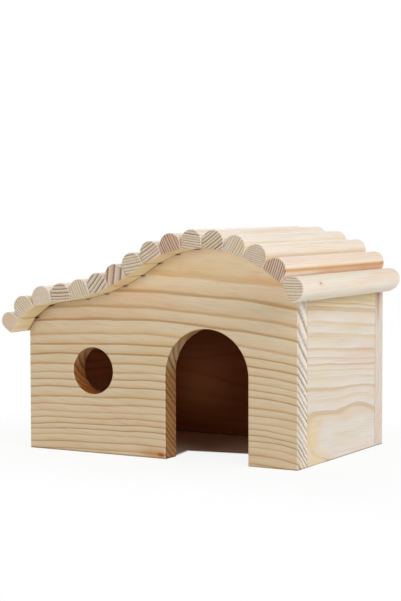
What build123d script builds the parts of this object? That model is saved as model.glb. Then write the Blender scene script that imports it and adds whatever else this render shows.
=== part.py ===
"""Wooden hamster house: four pine boards under a wavy roof of half-round slats.

The front and back boards are as wide as the house and end at the top in the roof line, an
S-shaped edge of four arcs. The two side boards stand between them. Half-round slats lie side by
side along the roof line, each with its flat glued down, and the whole house is open underneath.
Everything is in millimetres. The roof is laid out on a flat drawing of the front board, with X
from the board's left end and Y as its height, and the pieces are placed from that drawing.
"""

import os
from dataclasses import dataclass
from math import cos, radians, sin

from build123d import *

# Walls
wall_width = 150.0  # front and back boards, side to side
house_depth = 98.0  # over the front and back boards
board = 10.0  # thickness of every wall board
wall_arris = 0.5  # rounding of the boards' outer corners

# Doorway under the tall end and window at the low end, heights from the ground
doorway_inset = 48.2  # doorway's middle from the front board's right end
doorway_width = 45.0
doorway_height = 63.6
window_inset = 37.8  # window's middle from the front board's left end
window_centre_height = 40.7
window_diameter = 23.0

# Roof line: the top edge of the front and back boards, from the left eave to the right one.
# Angles are in degrees from level, and a rising line's is positive.
left_eave_height = 58.7
left_eave_angle = 63.4
shoulder_radius = 29.0
valley_angle = 4.4
valley_radius = 102.0
rise_angle = 33.8
dome_end_angle = -43.0
eave_radius = 10.0
right_eave_angle = -70.0

# Roof slats
slat_width = 10.95
slat_thickness = 9.0
edge_slat_width = 8.6  # the first slat, at the left eave, is ripped narrower
front_overhang = 15.5  # slats past the front board's face
back_setback = 3.0  # slats short of the back board's face
slat_arris = 0.8  # rounding of the two corners beside the flat
slat_end_ease = 0.3  # chamfer round both ends
glue_gap = 0.05  # between neighbouring slats at their nearest

search_steps = 30  # halvings that bring a slat up to its neighbour
rest_samples = 8  # places where a slat's flat is tried against the roof line


# ---------------------------------------------------------------- roof line and slat layout


def sine(angle):
    """Sine of an angle in degrees."""
    return sin(radians(angle))


with BuildLine() as roof_line:
    eave_direction = (cos(radians(left_eave_angle)), sine(left_eave_angle))
    shoulder = JernArc((0, left_eave_height), eave_direction, shoulder_radius, valley_angle - left_eave_angle)
    valley = JernArc(shoulder @ 1, shoulder % 1, valley_radius, rise_angle - valley_angle)
    # The dome takes the width that is left, so that it ends over the board's right end.
    dome_width = wall_width - (valley @ 1).X
    dome_radius = dome_width / (sine(rise_angle) - sine(dome_end_angle))
    dome = JernArc(valley @ 1, valley % 1, dome_radius, dome_end_angle - rise_angle)
    # Past the boards the line goes on down, to carry the last slat.
    eave = JernArc(dome @ 1, dome % 1, eave_radius, right_eave_angle - dome_end_angle)
    PolarLine(eave @ 1, 2 * slat_width, right_eave_angle)

roof_edge = roof_line.wires()[0]


@dataclass(frozen=True)
class Slat:
    """One roof slat's section, standing on the roof line."""

    width: float
    foot: Vector  # middle of the flat
    along: Vector  # direction of the flat, towards the right eave

    @property
    def away(self):
        """Direction from the flat to the crown."""
        return Vector(-self.along.Y, self.along.X)

    @property
    def flank(self):
        """Height of the straight sides, below the half-round crown."""
        return slat_thickness - self.width / 2

    @property
    def corners(self):
        """The section's two corners beside the flat, left and right."""
        return [self.foot + self.along * (side * self.width / 2) for side in (-1, 1)]

    def reach(self, direction):
        """How far the section reaches along a direction of unit length."""
        crown = (self.foot + self.away * self.flank).dot(direction) + self.width / 2
        return max(crown, *(corner.dot(direction) for corner in self.corners))

    def clearance(self, following):
        """Gap between this slat and the one after it, negative where they overlap."""
        return max(-self.reach(way) - following.reach(way * -1) for way in (self.along, following.along))


def slat_at(distance, width):
    """Stand a slat on the roof line, its middle at a distance along the line from the left eave.

    On a hump the flat touches at its middle, and in the hollow it rests on its two corners.
    """
    middle = roof_edge.position_at(distance, PositionMode.LENGTH)
    along = roof_edge.tangent_at(distance, PositionMode.LENGTH)
    away = Vector(-along.Y, along.X)
    heights = []
    for step in range(rest_samples + 1):
        place = distance + (step / rest_samples - 0.5) * width
        under = roof_edge.position_at(place, PositionMode.LENGTH)
        heights.append((under - middle).dot(away))
    return Slat(width, middle + away * max(heights), along)


def lay_slats():
    """Lay slats side by side from the left eave until one passes the right wall's outer face."""
    distance = edge_slat_width / 2
    laid = [slat_at(distance, edge_slat_width)]
    while laid[-1].corners[1].X < wall_width:
        near = distance
        far = distance + 2 * slat_width
        for _ in range(search_steps):
            distance = (near + far) / 2
            if laid[-1].clearance(slat_at(distance, slat_width)) < glue_gap:
                near = distance
            else:
                far = distance
        distance = far
        laid.append(slat_at(distance, slat_width))
    return laid


slats = lay_slats()


# ---------------------------------------------------------------- places in the house's frame

# The origin is on the ground, under the middle of everything: the roof reaches furthest to the
# left, right and front, and the back board's face furthest back.
left_reach = max(slat.reach(Vector(-1, 0)) for slat in slats)
right_reach = max(slat.reach(Vector(1, 0)) for slat in slats)
slat_length = front_overhang + house_depth - back_setback
back_reach = max(house_depth, house_depth - back_setback)
left_end = (left_reach - right_reach) / 2  # X of the drawing's left end
front_face = (front_overhang - back_reach) / 2  # Y of the front board's face
roof_front = front_face - front_overhang


def drawing_plane(y):
    """The upright plane of the front board's drawing, at a place from front to back."""
    return Plane(origin=(left_end, y, 0), x_dir=(1, 0, 0), z_dir=(0, -1, 0))


def ease_outer_face(face):
    """Round the corners of a board's outer face below the left eave, where no slat covers them."""
    bare = face.edges().filter_by(lambda edge: edge.center().Z < left_eave_height)
    fillet(bare, radius=wall_arris)


# ---------------------------------------------------------------- boards

with BuildSketch() as gable:
    with BuildLine():
        add(roof_line.line)
        Polyline(roof_edge @ 1, ((roof_edge @ 1).X, 0), (0, 0), (0, left_eave_height))
    make_face()
    Rectangle(wall_width, 2 * dome_radius + left_eave_height, align=Align.MIN, mode=Mode.INTERSECT)

with BuildPart() as front_wall:
    with BuildSketch(drawing_plane(front_face)):
        add(gable.sketch)
        arch_radius = doorway_width / 2
        with Locations((wall_width - doorway_inset, doorway_height - arch_radius)):
            Circle(arch_radius, mode=Mode.SUBTRACT)
            Rectangle(doorway_width, doorway_height, align=(Align.CENTER, Align.MAX), mode=Mode.SUBTRACT)
        with Locations((window_inset, window_centre_height)):
            Circle(window_diameter / 2, mode=Mode.SUBTRACT)
    extrude(amount=-board)
    ease_outer_face(front_wall.faces().sort_by(Axis.Y)[0])

with BuildPart() as back_wall:
    with BuildSketch(drawing_plane(front_face + house_depth - board)):
        add(gable.sketch)
    extrude(amount=-board)
    ease_outer_face(back_wall.faces().sort_by(Axis.Y)[-1])

side_walls = {}
for side_name, side_end in (("left_wall", 0), ("right_wall", wall_width - board)):
    with BuildPart() as side_wall:
        with BuildSketch(drawing_plane(front_face + board)):
            add(gable.sketch)
            with Locations((side_end, 0)):
                Rectangle(board, 2 * dome_radius + left_eave_height, align=Align.MIN, mode=Mode.INTERSECT)
        extrude(amount=-(house_depth - 2 * board))
    side_walls[side_name] = side_wall

pieces = {"front_wall": front_wall, "back_wall": back_wall, **side_walls}


# ---------------------------------------------------------------- roof slats

for number, slat in enumerate(slats, start=1):
    slat_plane = Plane(
        origin=(left_end + slat.foot.X, roof_front, slat.foot.Y),
        x_dir=(slat.along.X, 0, slat.along.Y),
        z_dir=(0, -1, 0),
    )
    half = slat.width / 2
    with BuildPart() as roof_slat:
        with BuildSketch(slat_plane) as section:
            with BuildLine():
                Polyline((-half, slat.flank), (-half, 0), (half, 0), (half, slat.flank))
                ThreePointArc((half, slat.flank), (0, slat_thickness), (-half, slat.flank))
            make_face()
            fillet(section.vertices().group_by(Axis.Y)[0], radius=slat_arris)
        extrude(amount=-slat_length)
        ends = roof_slat.faces().filter_by(Axis.Y)
        chamfer(ends.edges(), length=slat_end_ease)
    pieces[f"roof_slat_{number:02d}"] = roof_slat


# ---------------------------------------------------------------- output

os.makedirs("parts", exist_ok=True)
for name, piece in pieces.items():
    piece.part.label = name
    export_step(piece.part, f"parts/{name}.step")
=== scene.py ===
"""Looks of the wooden hamster house: planed pine boards under a roof of half-round pine slats.

Every piece is solid pine, left bare. The wood is drawn as growth rings round a pith line that lies
outside the piece, so the lines on a face, the bands round a hole and the streaks on an end belong
to the same log. Lengths in the dataclasses are millimetres in the house's own frame: the origin is
on the ground under its middle, X to the right, Y to the back, Z up. Blender gets metres.
"""

import logging
import math
from dataclasses import dataclass, replace
from enum import Enum
from typing import Any

import bmesh
import bpy
from mathutils import Euler, Matrix, Vector

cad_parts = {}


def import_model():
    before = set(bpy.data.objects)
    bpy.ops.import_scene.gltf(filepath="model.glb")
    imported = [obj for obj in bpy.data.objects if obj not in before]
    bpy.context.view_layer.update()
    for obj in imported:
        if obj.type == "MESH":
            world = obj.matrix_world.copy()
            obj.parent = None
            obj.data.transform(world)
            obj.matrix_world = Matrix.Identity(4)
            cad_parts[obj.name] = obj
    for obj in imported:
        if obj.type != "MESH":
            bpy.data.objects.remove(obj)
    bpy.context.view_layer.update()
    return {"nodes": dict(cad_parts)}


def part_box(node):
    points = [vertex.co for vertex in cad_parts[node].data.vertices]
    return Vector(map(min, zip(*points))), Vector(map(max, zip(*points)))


LOG = logging.getLogger("hamster_house")
MM = 0.001

Pair = tuple[float, float]
Triple = tuple[float, float, float]
Colour = tuple[float, float, float, float]
Socket = bpy.types.NodeSocket
Tree = bpy.types.NodeTree


# ---------------------------------------------------------------- colours and nodes


def linear(hex_colour: str) -> Colour:
    """Turn an sRGB hex colour into Blender's linear colour.

    Args:
        hex_colour: Six hex digits after a hash sign.

    Returns:
        Red, green, blue and an alpha of 1.
    """
    levels = []
    for start in (1, 3, 5):
        level = int(hex_colour[start : start + 2], 16) / 255
        levels.append(level / 12.92 if level <= 0.04045 else ((level + 0.055) / 1.055) ** 2.4)
    red, green, blue = levels
    return (red, green, blue, 1.0)


def grey(level: float) -> Colour:
    """A grey level as a colour."""
    return (level, level, level, 1.0)


def add_node(
    tree: Tree,
    kind: str,
    inputs: dict[str | int, Any] | None = None,
    output: str | int = 0,
    **settings: Any,
) -> Socket:
    """Add one shader node with its settings and links.

    Args:
        tree: Node tree that gets the node.
        kind: Name of the node's type after "ShaderNode".
        inputs: A value or another node's output for each input, by its name or number.
        output: Which of the node's outputs is wanted.
        settings: The node's own settings. A colour ramp's stops are given as "stops".

    Returns:
        The wanted output, or the node's first input where it has no output.
    """
    node = tree.nodes.new("ShaderNode" + kind)
    for name, value in settings.items():
        if name != "stops":
            setattr(node, name, value)
            continue
        elements = node.color_ramp.elements
        while len(elements) < len(value):
            elements.new(1.0)
        for element, (place, colour) in zip(elements, value):
            element.position = place
            element.color = colour
    for key, value in (inputs or {}).items():
        if isinstance(value, Socket):
            tree.links.new(value, node.inputs[key])
        else:
            node.inputs[key].default_value = value
    return node.outputs[output] if node.outputs else node.inputs[0]


def calc(tree: Tree, operation: str, *values: Any, clamp: bool = False) -> Socket:
    """Add a Math node that takes its values in order."""
    return add_node(tree, "Math", dict(enumerate(values)), operation=operation, use_clamp=clamp)


def calc_vector(tree: Tree, operation: str, *values: Any, output: str | int = 0) -> Socket:
    """Add a Vector Math node that takes its values in order."""
    return add_node(tree, "VectorMath", dict(enumerate(values)), output, operation=operation)


def remap(
    tree: Tree,
    value: Socket,
    source: tuple[Any, Any] = (0.0, 1.0),
    target: tuple[Any, Any] = (0.0, 1.0),
    fade: str = "LINEAR",
) -> Socket:
    """Map one range of values onto another, level past both ends.

    Args:
        tree: Node tree that gets the node.
        value: The value.
        source: Both ends of its range, as numbers or outputs.
        target: What they are mapped to.
        fade: Interpolation between them.

    Returns:
        The mapped value.
    """
    ends = {"From Min": source[0], "From Max": source[1], "To Min": target[0], "To Max": target[1]}
    return add_node(tree, "MapRange", {"Value": value, **ends}, interpolation_type=fade)


def ramp(tree: Tree, value: Socket, *stops: tuple[float, Colour]) -> Socket:
    """Add a colour ramp with its stops in order."""
    return add_node(tree, "ValToRGB", {"Fac": value}, stops=stops)


def mix(tree: Tree, share: Any, first: Any, second: Any, blend: str = "MIX") -> Socket:
    """Mix two colours.

    Args:
        tree: Node tree that gets the node.
        share: How much of the second colour.
        first: Colour or output.
        second: Colour or output.
        blend: Blend type.

    Returns:
        The mixed colour.
    """
    inputs = {0: share, 6: first, 7: second}  # the numbers of its sockets for colours
    return add_node(tree, "Mix", inputs, output=2, data_type="RGBA", blend_type=blend)


def measure(
    tree: Tree, place: Socket, middle: Any, turn: Any = (0.0, 0.0, 0.0), unit: Any = (1.0, 1.0, 1.0)
) -> Socket:
    """Measure places from a middle, along turned axes and in units of their own."""
    inputs = {"Vector": place, "Location": middle, "Rotation": turn, "Scale": unit}
    return add_node(tree, "Mapping", inputs, vector_type="TEXTURE")


def past_sides(tree: Tree, off: Socket, half: Vector) -> bpy.types.NodeOutputs:
    """Find how far places, measured from a box's middle, lie past its sides on each axis."""
    past = calc_vector(tree, "SUBTRACT", calc_vector(tree, "ABSOLUTE", off), half)
    return add_node(tree, "SeparateXYZ", {0: past}).node.outputs


def turned(tree: Tree, direction: Triple) -> Socket:
    """Find how far faces are turned along a direction, from -1 to 1."""
    normal = add_node(tree, "TexCoord", output="Normal")
    return calc_vector(tree, "DOT_PRODUCT", normal, direction, output="Value")


# ---------------------------------------------------------------- wood


class Grain(Enum):
    """Which way the wood's fibres run in a piece."""

    ALONG_X = 0.0
    ALONG_Y = 90.0

    @property
    def direction(self) -> Triple:
        """Unit vector along the fibres."""
        return (1.0, 0.0, 0.0) if self is Grain.ALONG_X else (0.0, 1.0, 0.0)


@dataclass(frozen=True)
class PineTone:
    """Colours of one lot of pine.

    Scots pine, planed and left without oil or varnish: a dull, faintly silky surface, pale cream
    early wood that darkens through honey to a thin brown late-wood line, and greyer, duller ends.
    """

    early: str
    honey: str
    late: str
    end_early: str
    end_late: str
    rosy: str = "#fff2ea"
    green: str = "#fcf8ec"


@dataclass(frozen=True)
class Sawing:
    """How a piece was cut out of its log."""

    grain: Grain
    pith: Triple  # a point of the log's middle line
    radius: float  # mm from the middle line to the piece
    ring_widths: tuple[float, ...]  # mm, one for all rings or each ring's from the radius outwards
    late_share: float = 0.22  # of a ring's width that is late wood
    lean: Pair = (0.0, 0.0)  # degrees that the middle line rises and turns to the left
    bow: float = 0.0  # mm that the middle line dips a BOW_SPAN along from its point
    first_ring: float = 0.0  # ring count at the radius
    wander: float = 0.8  # mm that the rings wander over a hand's length
    ripple: float = 0.28  # mm that they wander over a finger's width
    uneven: float = 1.0  # rings that a ring may lie off its place
    faintest: float = 0.45  # strength of the faintest ring, where the boldest is 1
    contrast: float = 0.8  # of the late-wood lines on the long faces
    end_contrast: float = 0.8  # of the same lines on the sawn ends
    cant: float = 0.0  # mm that the rings drop for each mm behind the face, besides the lean
    face: float = 0.0  # Y of that face
    seed: float = 0.0
    draw: float = 0.5  # where the draw of bold and faint rings starts

    def profile(self) -> tuple[tuple[float, Colour], ...]:
        """Shade one ring from its first wood to its last.

        Returns:
            Places across the ring, from 0 to 1, and how far the wood there is late wood, as grey.
        """
        late = self.late_share
        return (
            (0.0, grey(0.06)),  # still by the last ring's edge
            (0.04, grey(0.0)),  # early wood
            (max(0.1, 1.0 - 2.6 * late), grey(0.12)),  # where it starts to darken
            (1.0 - 1.2 * late, grey(0.38)),
            (1.0 - 0.65 * late, grey(1.0)),  # late wood
            (0.965, grey(0.95)),
            (1.0, grey(0.06)),  # and its sharp outer edge
        )


@dataclass(frozen=True)
class Streaks:
    """Noise that is drawn out along the fibres."""

    along: float  # mm, length of a patch
    across: float  # mm, its width
    detail: float = 1.0  # octaves of finer noise
    shift: float = 0.0  # moves the pattern, so that two of them differ


WANDER = Streaks(140.0, 40.0)  # rings over a hand's length
RIPPLE = Streaks(22.0, 5.0, shift=11.0)  # rings over a finger's width
DRIFT = Streaks(60.0, 9.0, detail=2.0, shift=17.0)  # from rosy to green wood
FIBRES = Streaks(34.0, 0.7, detail=2.0, shift=5.0)  # coarser than real ones, which don't show
CHIPS = Streaks(1.6, 0.7, detail=2.0, shift=23.0)  # fibres torn out by a rough saw

NOISE_MIDDLE = 0.5
NOISE_GAIN = 4.0  # because noise seldom lies further than a quarter off its middle
SEED_SHIFT = (3.7, 1.3, -2.1)  # patches that a seed of 1 moves the noise by
SEED_DRAW = 0.37  # rings that a seed of 1 moves the draw of bold and faint rings by
UNEVEN_PACE = 0.45  # patches of uneven spacing for each ring
BOW_SPAN = 100.0

HONEY_AT = 0.38  # how far honey-coloured wood is late wood
DRIFT_STOPS = (0.3, 0.5, 0.7)  # noise of rosy, neutral and green wood
FIBRE_LIGHT = ((0.25, 0.88), (0.5, 0.98), (0.75, 1.0))  # their noise, and how light they are

# How far wood is late wood, from 0 to 1, on a rough saw cut.
TORN_PALE = 0.09  # up to here it looks like early wood
TORN_DARK = 0.42  # from here on like late wood
TORN_FULL = 0.92  # which looks as late as this
TORN_CHIPS = (-1.1, 1.1)  # what torn fibres take away or add at most

# How far a face is turned along a direction, from where it doesn't count to where it does fully.
END_GRAIN = (0.55, 0.85)  # along the fibres, for end grain
TURNED = (0.2, 0.6)  # along a zone's direction, for the zone


@dataclass(frozen=True)
class Patch:
    """A soft round place in the wood."""

    centre: Triple
    radii: Triple

    def mask(self, tree: Tree) -> Socket:
        """Find the patch.

        Args:
            tree: The material's nodes.

        Returns:
            1 in its middle and 0 from its rim on.
        """
        place = add_node(tree, "TexCoord", output="Object")
        centre, radii = ([value * MM for value in row] for row in (self.centre, self.radii))
        off = measure(tree, place, centre, unit=radii)
        far = calc_vector(tree, "LENGTH", off, output="Value")
        return remap(tree, far, target=(1.0, 0.0), fade="SMOOTHERSTEP")


@dataclass(frozen=True)
class Mark(Patch):
    """A stain: resin, a knot with its halo, or a drop of glue darkened with painted notch shade;
    also painted shade along a groove.
    """

    colour: str
    strength: float
    blend: str = "MULTIPLY"  # or MIX, for a stain that hides the rings


@dataclass(frozen=True)
class Swell(Patch):
    """A place where the rings bend round a knot that lies under the surface."""

    push: float  # mm that the rings are pushed out from the pith


@dataclass(frozen=True)
class Zone:
    """A part of a piece's surface with a tone of its own: a cut, an inner face in painted shade, or
    an edge with a painted contact shadow.
    """

    low: Triple
    high: Triple
    colour: str
    strength: float = 1.0
    soft: float = 0.5  # mm over which it fades at its sides
    facing: Triple | None = None  # only faces turned this way
    edge_on: bool = False  # only faces that run along that direction instead

    def mask(self, tree: Tree, place: Socket) -> Socket:
        """Find the zone on the surface.

        Args:
            tree: The material's nodes.
            place: Object coordinates.

        Returns:
            1 in the zone and 0 outside it.
        """
        low, high = Vector(self.low) * MM, Vector(self.high) * MM
        off = calc_vector(tree, "SUBTRACT", place, (low + high) / 2)
        past_x, past_y, past_z = past_sides(tree, off, (high - low) / 2)
        past = calc(tree, "MAXIMUM", calc(tree, "MAXIMUM", past_x, past_y), past_z)
        inside = remap(tree, past, (self.soft * MM, -self.soft * MM), fade="SMOOTHSTEP")
        if self.facing is None:
            return inside
        share = turned(tree, self.facing)
        if self.edge_on:
            share = remap(tree, calc(tree, "ABSOLUTE", share), TURNED[::-1])
        else:
            share = remap(tree, share, TURNED)
        return calc(tree, "MULTIPLY", inside, share)


@dataclass(frozen=True)
class PineFinish:
    """Bare planed pine on one piece."""

    name: str
    tone: PineTone
    sawing: Sawing
    marks: tuple[Mark, ...] = ()
    zones: tuple[Zone, ...] = ()
    swells: tuple[Swell, ...] = ()
    torn: Zone | None = None  # a rough saw cut, where the late wood stands out broad and dark
    roughness: float = 0.62
    late_roughness: float = 0.5  # lower, because late wood is denser
    ior: float = 1.46
    specular: float = 0.35
    relief: float = 0.04  # height between the surface's lowest and highest places
    ring_relief: float = 0.6  # share of it by which late wood stands above early wood
    fibre_relief: float = 0.4  # share of it between the fibres
    bump: float = 0.6  # how strongly the relief shows

    def material(self) -> bpy.types.Material:
        """Make the node material.

        Returns:
            The new material.
        """
        material = bpy.data.materials.new(self.name)
        material.use_nodes = True
        tree = material.node_tree
        tree.nodes.clear()
        place = add_node(tree, "TexCoord", output="Object")
        log_place = self._in_the_log(tree, place)
        late = self._late_wood(tree, place, log_place)
        fibre = self._noise(tree, log_place, FIBRES)
        fibre_height = calc(tree, "MULTIPLY", fibre, self.fibre_relief)
        height = calc(tree, "MULTIPLY_ADD", late, self.ring_relief, fibre_height)
        relief = {"Height": height, "Strength": self.bump, "Distance": self.relief * MM}
        surface = add_node(
            tree,
            "BsdfPrincipled",
            {
                "Base Color": self._colour(tree, place, log_place, late, fibre),
                "Roughness": remap(tree, late, target=(self.roughness, self.late_roughness)),
                "Normal": add_node(tree, "Bump", relief),
                "IOR": self.ior,
                "Specular IOR Level": self.specular,
            },
        )
        add_node(tree, "OutputMaterial", {"Surface": surface})
        return material

    def _in_the_log(self, tree: Tree, place: Socket) -> Socket:
        """Turn object coordinates into millimetres in the log.

        Args:
            tree: The material's nodes.
            place: Object coordinates.

        Returns:
            Place in the log, with X along its middle line.
        """
        sawing = self.sawing
        rise, swing = (math.radians(angle) for angle in sawing.lean)
        turn = Euler((0.0, 0.0, math.radians(sawing.grain.value))).to_matrix()
        lean = Euler((0.0, -rise, swing)).to_matrix()
        if sawing.cant:
            behind = add_node(tree, "SeparateXYZ", {0: place}, output="Y")
            at_face = -sawing.cant * sawing.face * MM
            raised = calc(tree, "MULTIPLY_ADD", behind, sawing.cant, at_face)
            place = calc_vector(tree, "ADD", place, add_node(tree, "CombineXYZ", {"Z": raised}))
        pith = [value * MM for value in sawing.pith]
        return measure(tree, place, pith, (turn @ lean).to_euler(), (MM, MM, MM))

    def _noise(
        self, tree: Tree, log_place: Socket, streaks: Streaks, output: str = "Fac"
    ) -> Socket:
        """Add noise that is drawn out along the fibres.

        Args:
            tree: The material's nodes.
            log_place: Place in the log.
            streaks: Its patches.
            output: Fac for one value, Color for three.

        Returns:
            The noise, about 0.5 on average.
        """
        seed = self.sawing.seed + streaks.shift
        scaled = add_node(
            tree,
            "Mapping",
            {
                "Vector": log_place,
                "Location": [seed * shift for shift in SEED_SHIFT],
                "Scale": (1 / streaks.along, 1 / streaks.across, 1 / streaks.across),
            },
        )
        inputs = {"Vector": scaled, "Scale": 1.0, "Detail": streaks.detail, "Roughness": 0.5}
        return add_node(tree, "TexNoise", inputs, output)

    def _late_wood(self, tree: Tree, place: Socket, log_place: Socket) -> Socket:
        """Draw the growth rings.

        Args:
            tree: The material's nodes.
            place: Object coordinates.
            log_place: Place in the log.

        Returns:
            How far the wood is late wood, from 0 to 1.
        """
        sawing = self.sawing
        count = self._ring_count(tree, self._radius(tree, log_place))
        profile = ramp(tree, calc(tree, "FRACT", count), *sawing.profile())
        if self.torn:
            rough = self.torn.mask(tree, place)
            profile = self._tear(tree, log_place, rough, profile)
        start = sawing.seed * SEED_DRAW + sawing.draw
        drawn = calc(tree, "ADD", calc(tree, "FLOOR", count), start)
        chance = add_node(tree, "TexWhiteNoise", {"W": drawn}, noise_dimensions="1D")
        strength = remap(tree, chance, target=(sawing.faintest, 1.0))
        return calc(tree, "MULTIPLY", profile, strength)

    def _radius(self, tree: Tree, log_place: Socket) -> Socket:
        """Measure how far out in the log a place lies, with the log's bends taken out.

        Args:
            tree: The material's nodes.
            log_place: Place in the log.

        Returns:
            The distance from its middle line, in mm.
        """
        sawing = self.sawing
        along = add_node(tree, "SeparateXYZ", {0: log_place})
        squared = calc(tree, "MULTIPLY", along, along)
        dip = calc(tree, "MULTIPLY", squared, sawing.bow / BOW_SPAN**2)
        bent = calc_vector(tree, "ADD", log_place, add_node(tree, "CombineXYZ", {"Z": dip}))
        for streaks, reach in ((WANDER, sawing.wander), (RIPPLE, sawing.ripple)):
            noise = self._noise(tree, log_place, streaks, "Color")
            centred = calc_vector(tree, "SUBTRACT", noise, (NOISE_MIDDLE,) * 3)
            step = NOISE_GAIN * reach
            bent = calc_vector(tree, "MULTIPLY_ADD", centred, (0.0, step, step), bent)
        across = calc_vector(tree, "MULTIPLY", bent, (0.0, 1.0, 1.0))
        radius = calc_vector(tree, "LENGTH", across, output="Value")
        for swell in self.swells:
            radius = calc(tree, "MULTIPLY_ADD", swell.mask(tree), -swell.push, radius)
        return radius

    def _ring_count(self, tree: Tree, radius: Socket) -> Socket:
        """Count the rings from the first one outwards.

        Args:
            tree: The material's nodes.
            radius: Distance from the log's middle line, in mm.

        Returns:
            The count, with the place in a ring as its fraction.
        """
        sawing, widths = self.sawing, self.sawing.ring_widths
        out = calc(tree, "SUBTRACT", radius, sawing.radius)
        first = sawing.first_ring - NOISE_MIDDLE * sawing.uneven
        if len(widths) == 1:
            count = calc(tree, "MULTIPLY_ADD", out, 1 / widths[0], first)
        else:
            rings, total = len(widths), sum(widths)
            edges = [sum(widths[:number]) / total for number in range(rings + 1)]
            stops = [(edge, grey(number / rings)) for number, edge in enumerate(edges)]
            calendar = ramp(tree, calc(tree, "DIVIDE", out, total), *stops)
            count = calc(tree, "MULTIPLY_ADD", calendar, float(rings), first)
        uneven = add_node(
            tree,
            "TexNoise",
            {
                "W": calc(tree, "MULTIPLY_ADD", count, UNEVEN_PACE, sawing.seed),
                "Scale": 1.0,
                "Detail": 0.0,
            },
            noise_dimensions="1D",
        )
        return calc(tree, "MULTIPLY_ADD", uneven, sawing.uneven, count)

    def _tear(self, tree: Tree, log_place: Socket, rough: Socket, profile: Socket) -> Socket:
        """Broaden and darken the late wood on a rough saw cut, and tear its fibres.

        Args:
            tree: The material's nodes.
            log_place: Place in the log.
            rough: 1 on the saw cut.
            profile: How far the wood is late wood.

        Returns:
            The same with the saw cut changed.
        """
        pale = calc(tree, "MULTIPLY", rough, TORN_PALE)
        dark = remap(tree, rough, target=(1.0, TORN_DARK))
        full = remap(tree, rough, target=(1.0, TORN_FULL))
        profile = remap(tree, profile, (pale, dark), (0.0, full))
        chips = remap(tree, self._noise(tree, log_place, CHIPS), target=TORN_CHIPS)
        return calc(tree, "MULTIPLY_ADD", chips, rough, profile, clamp=True)

    def _end_mask(self, tree: Tree) -> Socket:
        """Find the faces that cut across the fibres.

        Args:
            tree: The material's nodes.

        Returns:
            1 on end grain and 0 on long faces.
        """
        share = calc(tree, "ABSOLUTE", turned(tree, self.sawing.grain.direction))
        return remap(tree, share, END_GRAIN, fade="SMOOTHSTEP")

    def _colour(
        self, tree: Tree, place: Socket, log_place: Socket, late: Socket, fibre: Socket
    ) -> Socket:
        """Colour the rings, the fibres and the marks.

        Args:
            tree: The material's nodes.
            place: Object coordinates.
            log_place: Place in the log.
            late: How far the wood is late wood.
            fibre: The fibre streaks.

        Returns:
            The base colour.
        """
        tone, sawing = self.tone, self.sawing
        shades = []
        for contrast, stops in (
            (sawing.contrast, ((0.0, tone.early), (HONEY_AT, tone.honey), (1.0, tone.late))),
            (sawing.end_contrast, ((0.0, tone.end_early), (1.0, tone.end_late))),
        ):
            share = calc(tree, "MULTIPLY", late, contrast)
            shades.append(ramp(tree, share, *((stop, linear(colour)) for stop, colour in stops)))
        colour = mix(tree, self._end_mask(tree), *shades)
        tints = (linear(tone.rosy), grey(1.0), linear(tone.green))
        tint = ramp(tree, self._noise(tree, log_place, DRIFT), *zip(DRIFT_STOPS, tints))
        colour = mix(tree, 1.0, colour, tint, "MULTIPLY")
        light = ramp(tree, fibre, *((stop, grey(level)) for stop, level in FIBRE_LIGHT))
        colour = mix(tree, 1.0, colour, light, "MULTIPLY")
        for zone in self.zones:
            share = calc(tree, "MULTIPLY", zone.mask(tree, place), zone.strength)
            colour = mix(tree, share, colour, linear(zone.colour), "MULTIPLY")
        for mark in self.marks:
            share = calc(tree, "MULTIPLY", mark.mask(tree), mark.strength)
            colour = mix(tree, share, colour, linear(mark.colour), mark.blend)
        return colour


# ---------------------------------------------------------------- the house


def dress(node: bpy.types.Object, finish: PineFinish) -> None:
    """Give a CAD node its own piece of pine.

    Args:
        node: The node's object.
        finish: Its finish.
    """
    material = finish.material()
    for slot in node.material_slots:
        slot.material = material
    LOG.info("%s: %s", node.name, finish.name)


TO_BACK = (0.0, 1.0, 0.0)
TO_FRONT = (0.0, -1.0, 0.0)
TO_RIGHT = (1.0, 0.0, 0.0)
TO_LEFT = (-1.0, 0.0, 0.0)
UP = (0.0, 0.0, 1.0)
PAST = Vector((1.0, 1.0, 1.0))  # mm that a zone goes past the piece's own faces
FAR_PAST = 20.0  # mm that a very soft one goes past them, so that it doesn't fade there

ROOM_PAINTED_SHADE = "#f0b282"  # painted shade on the inside: duller and browner
SEAM_GLUE_AND_SHADE = "#b98850"  # dried glue between a board's top edge and the slats, with painted shade of the gap there
GLUE_AND_NOTCH_SHADE = "#7d5829"  # drops of the same glue squeezed out between two slats, darkened with painted shade of the notch there
JOINT_SHADE = "#bfa88a"  # the glue line between two boards
FOOT_CONTACT_SHADOW = "#a89a85"  # painted contact shadow on the lowest half millimetre, where the boards stand on the ground


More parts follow.
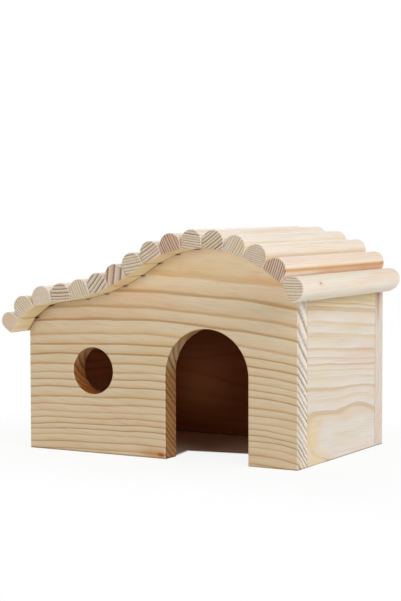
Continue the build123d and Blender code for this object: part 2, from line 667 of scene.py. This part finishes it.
@dataclass
class Walls:
    """The four boards under the roof."""

    front_tone: PineTone = PineTone(
        early="#f2dfc0", honey="#eacb9e", late="#b98e60", end_early="#fff7ea", end_late="#8a745f"
    )
    back_tone: PineTone = PineTone(
        early="#e8dac2", honey="#e4c79c", late="#c39c68", end_early="#e7dccf", end_late="#b58e72"
    )
    side_tone: PineTone = PineTone(
        early="#e9e1d8", honey="#e5d5bf", late="#c9a67a", end_early="#ecdfcc", end_late="#a39281"
    )

    front_rings: tuple[float, ...] = (
        *(10.7, 11.1, 6.2, 6.0, 4.6, 5.6, 3.9, 4.0, 4.0, 3.6, 3.0, 3.1, 4.3, 3.2),
        *(3.2, 2.7, 2.6, 2.2, 2.5, 3.2, 3.2, 1.7, 2.4, 2.3, 2.3, 2.2, 2.2),
    )
    side_rings: tuple[float, ...] = (
        *(4.8, 3.7, 3.8, 4.3, 2.8, 2.2, 2.6),
        *(4.0, 6.4, 5.0, 6.5, 1.7, 2.4, 4.0),
    )

    # Where tones of their own end on the boards.
    margin: float = 5.0  # off the front board's sides, and both openings lie further in
    doorway_top: float = 66.0  # just over the doorway
    window_right: float = -20.0  # X between the window and the doorway
    window_middle: float = 46.0
    dark_cuts_top: float = 45.0  # painted shade, by which the cuts through the board are darker below
    saw_start: float = 0.3  # behind the front face, where its planed arris ends
    face_shade_top: float = 75.0  # painted shade, by which the front face is a little greyer below
    lower_top: float = 52.0  # and a little more painted shade below this
    seam_bottom: float = 57.5  # just under the lowest place of the roof line
    seam_start: float = 0.2  # behind the front face
    seam_inset: float = 0.6  # off the front board's sides
    heel_bottom: float = 73.0  # the side boards are yellower above
    # heights of the painted contact shadow at the boards' feet: back and sides, then front
    foot_top: float = 0.4
    front_foot_top: float = 0.6
    joint: float = 0.3  # of the glue line round the back board's inner face
    side_joint: float = 0.2  # of the one at the side boards' front ends

    def build(self, nodes: dict[str, bpy.types.Object], drops: tuple[Mark, ...]) -> None:
        """Dress the boards.

        Args:
            nodes: The CAD nodes by name.
            drops: Glue squeezed out between the slats and the front board, with painted shade of
                the notches there.
        """
        for name, finish in (
            ("front_wall", self.front(drops)),
            ("back_wall", self.back()),
            ("left_wall", self.side("left_wall", inwards=TO_RIGHT, seed=31.0)),
            ("right_wall", self.side("right_wall", inwards=TO_LEFT, seed=37.0)),
        ):
            dress(nodes[name], finish)

    def front(self, drops: tuple[Mark, ...]) -> PineFinish:
        """The front board: far out in the log, with rings that close up towards the ground.

        Args:
            drops: Glue squeezed out over its top edge, with painted shade of the notches there.

        Returns:
            Its finish.
        """
        low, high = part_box("front_wall")
        low, high = low / MM, high / MM
        sawing = Sawing(
            Grain.ALONG_X,
            pith=(0.0, 88.66, 226.0),
            radius=166.12,
            ring_widths=self.front_rings,
            lean=(-4.44, 3.746),
            bow=11.79,
            first_ring=-3.0,
            wander=0.3,
            uneven=0.0,
            contrast=0.95,
            end_contrast=0.95,
            cant=0.27,
            face=low.y,
            seed=3.0,
            draw=1044.765,
        )
        rough = Zone(
            (low.x - 1.0, low.y + self.saw_start, low.z - 1.0),
            (high.x + 1.0, high.y + 1.0, high.z),
            "#ffffff",
            soft=self.saw_start,
            facing=TO_BACK,
            edge_on=True,
        )
        resin = (
            Mark((-0.4, low.y, 1.9), (3.6, 3.0, 1.9), "#b9853a", 0.9),
            Mark((-5.0, low.y, 2.2), (12.0, 3.0, 4.0), "#ecd09a", 0.7),
        )
        swells = (
            Swell((78.0, low.y, 6.0), (75.0, 60.0, 56.0), -6.5),
            Swell((15.8, low.y, 90.9), (68.4, 60.0, 90.0), 1.8),
            Swell((46.3, low.y, 37.9), (57.1, 60.0, 18.0), -1.3),
            Swell((-37.4, low.y, 48.3), (47.1, 60.0, 90.0), 1.4),
        )
        name, zones = "planed pine front board", self.front_zones(low, high, rough)
        return PineFinish(name, self.front_tone, sawing, (*resin, *drops), zones, swells, rough)

    def front_zones(self, low: Vector, high: Vector, rough: Zone) -> tuple[Zone, ...]:
        """The tones of the front board's cuts, edges and faces.

        Args:
            low: The board's lowest corner, in mm.
            high: Its highest corner.
            rough: Its saw cuts.

        Returns:
            The zones, in the order in which they are laid over each other.
        """
        left, right = low.x + self.margin, high.x - self.margin
        # the cut faces round both openings: a scorched saw tone, browned further as painted warm
        # bounce light inside the openings
        bored = replace(
            rough, low=(left, low.y, 0.0), high=(right, high.y, self.doorway_top), colour="#ecd1ac"
        )
        # painted shade on the cut faces of the window's lower half
        window_high = (self.window_right, high.y, self.window_middle)
        window = replace(bored, high=window_high, colour="#f5dcb8", soft=5.0)
        # painted shade on the cut faces below the dark cuts' top
        dark_cuts = Zone(
            (left, low.y - FAR_PAST, low.z - FAR_PAST),
            (right, high.y + FAR_PAST, self.dark_cuts_top),
            "#d8bc9e",
            soft=6.0,
            facing=TO_BACK,
            edge_on=True,
        )
        # painted shade on the board's inner face
        room = Zone(low, high + Vector(TO_BACK), ROOM_PAINTED_SHADE, facing=TO_BACK)
        # dried glue and painted shade in the gap between the board's top edge and the slats
        seam = Zone(
            (low.x + self.seam_inset, low.y + self.seam_start, self.seam_bottom),
            (high.x - self.seam_inset, high.y + 1.0, high.z + 1.0),
            SEAM_GLUE_AND_SHADE,
            soft=self.seam_start,
            facing=UP,
        )
        # painted contact shadow along the front board's foot
        foot_high = (high.x + 1.0, high.y, low.z + self.front_foot_top)
        foot = Zone(low - PAST, foot_high, "#b08f62", 0.7)
        # painted shade: the front face greyer lower down, and greyer still below the lower top
        face_low = low - Vector((FAR_PAST, 1.0, FAR_PAST))
        face_right, face_back = high.x + FAR_PAST, low.y + 1.0
        painted_face_shade = Zone(face_low, (face_right, face_back, self.face_shade_top), "#dadad9", soft=16.0)
        lower = Zone(face_low, (face_right, face_back, self.lower_top), "#f7f6f2", soft=12.0)
        return (bored, window, dark_cuts, room, seam, foot, painted_face_shade, lower)

    def back(self) -> PineFinish:
        """The back board.

        Returns:
            Its finish.
        """
        low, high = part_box("back_wall")
        low, high = low / MM, high / MM
        sawing = Sawing(
            Grain.ALONG_X,
            pith=(10.0, 12.0, 36.0),
            radius=40.0,
            ring_widths=(3.2,),
            lean=(1.5, 2.0),
            wander=3.0,
            contrast=0.55,
            end_contrast=0.3,
            seed=21.0,
        )
        streak = Mark((high.x, 50.3, 80.0), (5.0, 4.5, 26.0), "#d9b596", 1.0)
        joint_high = (high.x + 1.0, low.y + self.joint, high.z)
        foot_high = (high.x + 1.0, high.y + 1.0, low.z + self.foot_top)
        zones = (
            # painted shade on the board's inner face
            Zone(low + Vector(TO_FRONT), high, ROOM_PAINTED_SHADE, facing=TO_FRONT),
            Zone(low - PAST, joint_high, JOINT_SHADE, soft=0.2),
            # painted contact shadow along the board's foot
            Zone(low - PAST, foot_high, FOOT_CONTACT_SHADOW, soft=0.2),
        )
        return PineFinish("planed pine back board", self.back_tone, sawing, (streak,), zones)

    def side(self, name: str, inwards: Triple, seed: float) -> PineFinish:
        """A side board: flat-sawn, with a wide pale heart low down.

        Args:
            name: The CAD node.
            inwards: Direction into the room.
            seed: Makes the two boards differ.

        Returns:
            Its finish.
        """
        low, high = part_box(name)
        low, high = low / MM, high / MM
        middle = (low + high) / 2
        sawing = Sawing(
            Grain.ALONG_Y,
            pith=(middle.x + inwards[0] * 20.0, middle.y, 6.0),
            radius=25.5,
            ring_widths=self.side_rings,
            late_share=0.36,
            lean=(-3.88, 0.0),
            bow=1.3,
            wander=0.7,
            uneven=0.0,
            contrast=0.72,
            seed=seed,
        )
        swells = (
            Swell((middle.x, 27.7, 22.5), (60.0, 32.7, 22.7), 2.2),
            Swell((middle.x, -40.0, 4.0), (60.0, 32.0, 30.0), -7.5),
            Swell((middle.x, -18.0, -5.0), (60.0, 28.0, 14.0), -8.0),
        )
        outside = middle.x - (high.x - low.x) / 2 * inwards[0]
        resin = (
            Mark((outside, -27.0, 13.0), (9.0, 15.0, 17.0), "#e9d2aa", 0.85, "MIX"),
            Mark((outside, -20.0, 2.0), (9.0, 15.0, 7.0), "#ead3ac", 0.8, "MIX"),
            Mark((outside, -18.0, 19.5), (9.0, 9.0, 3.5), "#e3c79a", 0.6, "MIX"),
        )
        joint_high = (high.x + 1.0, low.y + self.side_joint, high.z)
        foot_high = (high.x + 1.0, high.y + 1.0, low.z + self.foot_top)
        heel_low = (low.x - 1.0, low.y, self.heel_bottom)
        zones = (
            # painted shade on the board's inner face
            Zone(low - PAST, high + PAST, ROOM_PAINTED_SHADE, facing=inwards),
            Zone(low - PAST, joint_high, JOINT_SHADE, soft=0.2),
            # painted contact shadow along the board's foot
            Zone(low - PAST, foot_high, FOOT_CONTACT_SHADOW, soft=0.2),
            Zone(heel_low, high + PAST, "#fff8de", soft=1.2),
        )
        label = f"planed pine {name.replace('_', ' ')}"
        return PineFinish(label, self.side_tone, sawing, resin, zones, swells)


@dataclass(frozen=True)
class SlatLook:
    """What one roof slat shows on its sawn end and along its crown."""

    tilt: float  # degrees that its flat rises to the right
    slope: float  # degrees that the rings rise to the right on the front end
    ring_width: float
    end_contrast: float
    contrast: float = 0.3
    end_late: str = "#6f5b4a"
    early: str = "#faf1e6"
    honey: str = "#f5e5cd"
    end_early: str = "#ead9c1"
    late: str = "#d2ae82"

    @property
    def tone(self) -> PineTone:
        """Its colours."""
        return PineTone(self.early, self.honey, self.late, self.end_early, self.end_late)


@dataclass
class Roof:
    """The sixteen half-round slats."""

    pith_distance: float = 80.0
    width: float = 10.95
    edge_width: float = 8.6  # of the first slat
    thickness: float = 9.0
    board: float = 10.0
    room_low: Pair = (-67.25, -31.25)  # corners of the room, X and Y
    room_high: Pair = (62.75, 46.75)
    past_board: float = 12.0  # off the room's left side, so past the front board's end
    seam_reach: float = 9.0  # of the seam of glue and painted shade over each side board
    drop_radii: Triple = (3.0, 2.2, 2.5)  # of a drop of glue with painted notch shade beside a slat's flat
    drop_reach: float = 0.1  # of its middle past the flat's corner
    board_drop_radii: Triple = (2.6, 3.0, 1.2)  # of what it leaves on the front board
    groove_shade_radii: Triple = (1.2, 14.0, 1.2)  # of the painted shade that runs on from it along the groove under the slat
    groove_shade_shift: float = 8.0  # of that shade's middle towards the slat's front end
    bead_width: float = 2.0  # of the glue and painted crease shade along the front board's face, on the overhang
    bead_depth: float = 0.3  # of the same glue and shade over the board's arris
    full_beads: int = 3  # slats from the low eave on which it shows in full
    first_seed: float = 40.0
    seed_step: float = 3.1
    looks: tuple[SlatLook, ...] = (
        SlatLook(54.9, 0.0, 3.0, 0.08, end_early="#e0c7b0"),
        SlatLook(35.7, -46.0, 1.25, 0.60, early="#f8eedd"),
        SlatLook(14.3, 10.0, 3.0, 0.06, 0.2, end_early="#dccbb7", early="#faf3ea"),
        SlatLook(7.8, 3.0, 1.6, 1.0, 0.4, end_late="#75503a", early="#f7ead8"),
        SlatLook(14.2, -67.0, 1.25, 0.65),
        SlatLook(20.6, 50.0, 1.95, 1.0, 0.4, end_late="#5f4a3b"),
        SlatLook(
            27.0, 84.0, 3.7, 1.0, 0.5, end_late="#6f4426", end_early="#e4d2be", early="#f6e7d2"
        ),
        SlatLook(33.5, 10.0, 1.5, 0.80, early="#f9f0e2"),
        SlatLook(24.3, 34.0, 1.6, 0.90, 0.4),
        SlatLook(
            14.2, -62.0, 1.3, 1.0, 0.4, end_late="#7d4a35", end_early="#dcc0a6", early="#f8e6d5"
        ),
        SlatLook(4.2, -7.0, 1.15, 0.90, end_late="#6f4d3a"),
        SlatLook(-5.9, 35.0, 1.4, 1.0, end_late="#644636", early="#fff5ea"),
        SlatLook(-15.9, 56.0, 1.3, 0.70, early="#fff5ea"),
        SlatLook(-26.0, -14.0, 1.0, 0.55, early="#fdf1e3", end_early="#dfccb6"),
        SlatLook(
            *(-36.1, 70.0, 1.15, 1.0, 0.45),
            end_late="#5e3828",
            early="#fdecdc",
            honey="#f6ddc2",
            end_early="#e0c6b0",
        ),
        SlatLook(-60.6, 0.0, 1.25, 0.75, 0.25, early="#f5ebdb", honey="#f1e3cf"),
    )

    def build(self, nodes: dict[str, bpy.types.Object]) -> None:
        """Dress the slats.

        Args:
            nodes: The CAD nodes by name.
        """
        knot = Mark((82.9, -38.2, 86.4), (0.8, 0.9, 0.7), "#46301f", 1.0)
        halo = Mark((82.9, -37.5, 86.4), (4.0, 4.5, 2.4), "#ecd9bc", 0.5)
        resin = Zone((73.6, -60.0, 91.8), (76.0, 60.0, 93.4), "#e0c294", soft=0.7)
        wedge = Mark((75.4, 56.0, 90.6), (2.8, 80.0, 2.6), "#d9b078", 1.0)
        honey = Zone((63.2, -60.0, 96.0), (66.0, 60.0, 99.6), "#f0e2c4", 0.5, soft=0.8)
        features = {14: ((), (honey,)), 15: ((wedge,), (resin,)), 16: ((halo, knot), ())}
        for number, look in enumerate(self.looks, start=1):
            name = f"roof_slat_{number:02d}"
            dress(nodes[name], self.slat(number, look, *features.get(number, ((), ()))))

    def seat(self, number: int, look: SlatLook) -> tuple[Vector, tuple[Vector, Vector]]:
        """Find how a slat's flat lies on the front board.

        Args:
            number: The slat's place, from the low eave.
            look: Its look, which has its tilt.

        Returns:
            The direction that the flat faces, and the places of the glue drops with painted notch
            shade on the board's face, beside its left and right corners.
        """
        low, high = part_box(f"roof_slat_{number:02d}")
        tilt = math.radians(look.tilt)
        flat = Vector((math.cos(tilt), 0.0, math.sin(tilt)))
        below = Vector((math.sin(tilt), 0.0, -math.cos(tilt)))
        half = (self.edge_width if number == 1 else self.width) / 2
        middle = low.x / MM + half if look.tilt > 0 else high.x / MM - half
        crown = Vector((middle, self.room_low[1] - self.board, high.z / MM - half))
        foot = crown + below * (self.thickness - half)
        reach = half + self.drop_reach
        return below, (foot - flat * reach, foot + flat * reach)

    def drops_on_board(self) -> tuple[Mark, ...]:
        """Find the glue, with painted notch shade, that the drops between neighbouring slats leave
        on the front board.

        Returns:
            A mark under each joint from the low eave to the dome's top.
        """
        rising = [look for look in self.looks if look.tilt > 0.0]
        feet = [self.seat(number, look)[1][1] for number, look in enumerate(rising, start=1)]
        # glue with painted notch shade on the board's face
        return tuple(Mark(foot, self.board_drop_radii, GLUE_AND_NOTCH_SHADE, 0.7) for foot in feet)

    def slat(
        self, number: int, look: SlatLook, marks: tuple[Mark, ...], zones: tuple[Zone, ...]
    ) -> PineFinish:
        """One slat.

        Args:
            number: Its place, from the low eave.
            look: What it shows.
            marks: Knots and stains of its own.
            zones: Streaks of other wood.

        Returns:
            Its finish.
        """
        low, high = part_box(f"roof_slat_{number:02d}")
        low, high = low / MM, high / MM
        middle = (low + high) / 2
        slope = math.radians(look.slope)
        pith = (
            middle.x - self.pith_distance * math.sin(slope),
            middle.y,
            middle.z + self.pith_distance * math.cos(slope),
        )
        sawing = Sawing(
            Grain.ALONG_Y,
            pith,
            radius=self.pith_distance,
            ring_widths=(look.ring_width,),
            late_share=0.34,
            wander=0.4,
            ripple=0.08,
            uneven=0.5,
            faintest=0.7,
            contrast=look.contrast,
            end_contrast=look.end_contrast,
            seed=self.first_seed + self.seed_step * number,
        )
        below, corners = self.seat(number, look)
        marks += self.drops(corners if number > 1 else corners[1:])
        zones += self.underside(number, low, high, below)
        return PineFinish(f"sawn pine slat {number:02d}", look.tone, sawing, marks, zones)

    def drops(self, corners: tuple[Vector, ...]) -> tuple[Mark, ...]:
        """The glue squeezed out beside a slat's flat, with painted notch shade.

        Args:
            corners: Places of the drops.

        Returns:
            For each place a drop and the painted groove shade that runs on from it to the slat's
            front end.
        """
        marks = []
        for corner in corners:
            # a glue drop with painted notch shade beside the slat's flat
            marks.append(Mark(corner, self.drop_radii, GLUE_AND_NOTCH_SHADE, 1.0))
            # painted shade along the groove between two slats' undersides
            groove_shade = corner + Vector((0.0, -self.groove_shade_shift, 0.0))
            marks.append(Mark(groove_shade, self.groove_shade_radii, "#cda26c", 0.35))
        return tuple(marks)

    def underside(self, number: int, low: Vector, high: Vector, below: Vector) -> tuple[Zone, ...]:
        """The tones of a slat's flat.

        Args:
            number: The slat's place, from the low eave.
            low: Its lowest corner, in mm.
            high: Its highest corner.
            below: Direction that the flat faces.

        Returns:
            The flat over the room in painted shade, the seam of glue and painted shade on the front
            board, the overhang with painted warm bounce light, and a bead of glue and painted shade
            along the board's face.
        """
        (left, front), (right, back) = self.room_low, self.room_high
        face, top = front - self.board, high.z + 1.0
        end = left - self.past_board
        # painted shade on the flat over the room
        room = Zone((left, front, 0.0), (right, back, top), ROOM_PAINTED_SHADE, facing=below)
        # dried glue and painted shade in the gap over the front board's top edge
        seam = Zone(
            (max(low.x - 1.0, left - self.seam_reach), face + self.bead_depth, 0.0),
            (min(high.x + 1.0, right + self.seam_reach), front, top),
            SEAM_GLUE_AND_SHADE,
            soft=0.2,
            facing=below,
        )
        # painted warm bounce light on the overhang's undersides
        overhang = Zone((end, low.y, 0.0), (right, face, top), "#fff7da", facing=below)
        # glue and painted shade in the crease between the slat's flat and the board's face
        bead = Zone(
            (end, face - self.bead_width, 0.0),
            (right, face + self.bead_depth, top),
            "#c89c68",
            0.9 if number <= self.full_beads else 0.35,
            soft=0.6,
            facing=below,
        )
        return (room, seam, overhang, bead)


# ---------------------------------------------------------------- stage, light and camera


@dataclass(frozen=True)
class Softbox:
    """A square lamp that is aimed at the house."""

    name: str
    place: Triple
    side: float
    power: float  # watts


@dataclass
class Studio:
    """A white floor, soft light and the camera."""

    floor_radius: float = 6000.0
    floor_sides: int = 64
    floor_drop: float = 0.05  # below the ground, so that no board's end lies in the floor
    shadow_share: float = 0.12  # of the house's shadow that the white floor keeps
    shadow_start: float = 10.0  # mm from the room where it starts to go
    shadow_reach: float = 120.0  # mm from the room where the last of it is gone
    room_edge: float = 1.5  # mm over which the floor under the roof ends
    floor_level: float = 0.95  # of the light that the floor throws back on the house
    painted_room_floor: str = "#dcbfa9"
    room_low: Pair = (-72.0, -31.0)  # the floor under the roof, browned as painted full shadow
    room_high: Pair = (68.0, 50.0)
    door_light_low: Pair = (2.3, -65.0)  # the patch of it painted white for the camera, as light through the doorway
    door_light_high: Pair = (82.3, -5.0)
    door_light_turn: float = 10.0
    camera_place: Triple = (402.751, -709.85, 123.4)
    yaw: float = 29.684
    pitch: float = 3.444
    roll: float = -0.108
    focal_pixels: float = 1632.0
    frame_height: int = 601
    sensor: float = 36.0
    nearest: float = 10.0
    furthest: float = 50000.0
    sky: float = 0.38
    aim_height: float = 50.0  # of the softboxes, over the origin
    softboxes: tuple[Softbox, ...] = (
        Softbox("key softbox", (1100.0, -450.0, 800.0), 900.0, 10.2),
        Softbox("fill softbox", (-250.0, -1600.0, 270.0), 520.0, 4.4),
        Softbox("back softbox", (-900.0, 1100.0, 700.0), 1200.0, 8.5),
    )

    def build(self) -> None:
        """Set the stage."""
        self._floor()
        self._world()
        for softbox in self.softboxes:
            self._lamp(softbox)
        self._camera()
        bpy.context.scene.view_settings.view_transform = "Standard"

    def _floor(self) -> None:
        """Lay a round floor that turns plain white for the camera away from the house."""
        mesh = bpy.data.meshes.new("floor")
        shape = bmesh.new()
        bmesh.ops.create_circle(
            shape, cap_ends=True, segments=self.floor_sides, radius=self.floor_radius * MM
        )
        bmesh.ops.translate(shape, verts=shape.verts, vec=(0.0, 0.0, -self.floor_drop * MM))
        shape.to_mesh(mesh)
        shape.free()
        floor = bpy.data.objects.new("floor", mesh)
        bpy.context.scene.collection.objects.link(floor)
        mesh.materials.append(self._paper())

    def _paper(self) -> bpy.types.Material:
        """Make the floor's material.

        Returns:
            White paper that keeps a part of the house's shadow, a brown floor of painted shade
            under the roof, and a painted patch of light inside the doorway.
        """
        material = bpy.data.materials.new("white paper floor")
        material.use_nodes = True
        tree = material.node_tree
        tree.nodes.clear()
        off_room = self._past(tree, self.room_low, self.room_high)
        # painted pool of light: the doorway's patch is taken out of the painted room shade
        off_light = self._past(
            tree, self.door_light_low, self.door_light_high, self.door_light_turn
        )
        past = calc(tree, "MAXIMUM", off_room, calc(tree, "MULTIPLY", off_light, -1.0))
        edge = (-self.room_edge * MM, self.room_edge * MM)
        fade = (self.shadow_start * MM, self.shadow_reach * MM)
        bare = remap(tree, past, edge, (0.0, 1.0 - self.shadow_share), "SMOOTHSTEP")
        clear = remap(tree, past, fade, (0.0, self.shadow_share), "SMOOTHSTEP")
        to_camera = add_node(tree, "LightPath", output="Is Camera Ray")
        level = remap(tree, to_camera, target=(self.floor_level, 1.0))
        # painted shade: the floor under the roof is brown for every ray
        paper = mix(tree, remap(tree, past, edge), linear(self.painted_room_floor), level)
        surface = add_node(
            tree,
            "MixShader",
            {
                0: calc(tree, "MULTIPLY", calc(tree, "ADD", bare, clear), to_camera),
                1: add_node(tree, "BsdfDiffuse", {"Color": paper}),
                2: add_node(tree, "Emission", {"Color": grey(1.0), "Strength": 1.0}),
            },
        )
        add_node(tree, "OutputMaterial", {"Surface": surface})
        return material

    def _past(self, tree: Tree, low: Pair, high: Pair, turn: float = 0.0) -> Socket:
        """Find how far a place on the floor lies outside a rectangle.

        Args:
            tree: The floor's node tree.
            low: One corner, in mm.
            high: The corner across from it.
            turn: Degrees by which the rectangle is turned about its middle.

        Returns:
            The distance in metres, negative inside the rectangle.
        """
        start, end = Vector((*low, 0.0)), Vector((*high, 0.0))
        place = add_node(tree, "TexCoord", output="Object")
        off = measure(tree, place, (start + end) / 2 * MM, (0.0, 0.0, math.radians(turn)))
        past_x, past_y, _ = past_sides(tree, off, (end - start) / 2 * MM)
        return calc(tree, "MAXIMUM", past_x, past_y)

    def _world(self) -> None:
        """Even white light from everywhere, seen as plain white."""
        world = bpy.data.worlds.new("studio")
        world.use_nodes = True
        tree = world.node_tree
        tree.nodes.clear()
        camera, glossy, through = (
            add_node(tree, "LightPath", output=f"Is {kind} Ray")
            for kind in ("Camera", "Glossy", "Transmission")
        )
        seen = calc(tree, "MAXIMUM", calc(tree, "MAXIMUM", camera, glossy), through)
        strength = remap(tree, seen, target=(self.sky, 1.0))
        light = add_node(tree, "Background", {"Color": grey(1.0), "Strength": strength})
        add_node(tree, "OutputWorld", {"Surface": light})
        bpy.context.scene.world = world

    def _lamp(self, softbox: Softbox) -> None:
        """Hang a softbox.

        Args:
            softbox: Its name, place, side and power.
        """
        lamp = bpy.data.lights.new(softbox.name, "AREA")
        lamp.size = softbox.side * MM
        lamp.energy = softbox.power
        holder = bpy.data.objects.new(softbox.name, lamp)
        place = Vector(softbox.place) * MM
        aim = Vector((0.0, 0.0, self.aim_height * MM)) - place
        turn = aim.to_track_quat("-Z", "Y").to_matrix().to_4x4()
        holder.matrix_world = Matrix.Translation(place) @ turn
        bpy.context.scene.collection.objects.link(holder)

    def _camera(self) -> None:
        """Put the camera in its place."""
        yaw, pitch, roll = (math.radians(angle) for angle in (self.yaw, self.pitch, self.roll))
        forward = Vector(
            (-math.sin(yaw) * math.cos(pitch), math.cos(yaw) * math.cos(pitch), -math.sin(pitch))
        )
        level = Vector((math.cos(yaw), math.sin(yaw), 0.0))
        upright = level.cross(forward)
        right = level * math.cos(roll) + upright * math.sin(roll)
        up = upright * math.cos(roll) - level * math.sin(roll)
        view = Matrix((right, up, -forward)).transposed().to_4x4()
        lens = bpy.data.cameras.new("camera")
        lens.sensor_width = self.sensor
        lens.lens = self.focal_pixels * self.sensor / self.frame_height
        lens.clip_start = self.nearest * MM
        lens.clip_end = self.furthest * MM
        camera = bpy.data.objects.new("camera", lens)
        camera.matrix_world = Matrix.Translation(Vector(self.camera_place) * MM) @ view
        bpy.context.scene.collection.objects.link(camera)
        bpy.context.scene.camera = camera


def main() -> None:
    """Build the scene in order."""
    logging.basicConfig(level=logging.INFO, format="%(name)s %(message)s")
    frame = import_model()
    Studio().build()
    roof = Roof()
    Walls().build(frame["nodes"], roof.drops_on_board())
    roof.build(frame["nodes"])


if __name__ == "__main__":
    main()
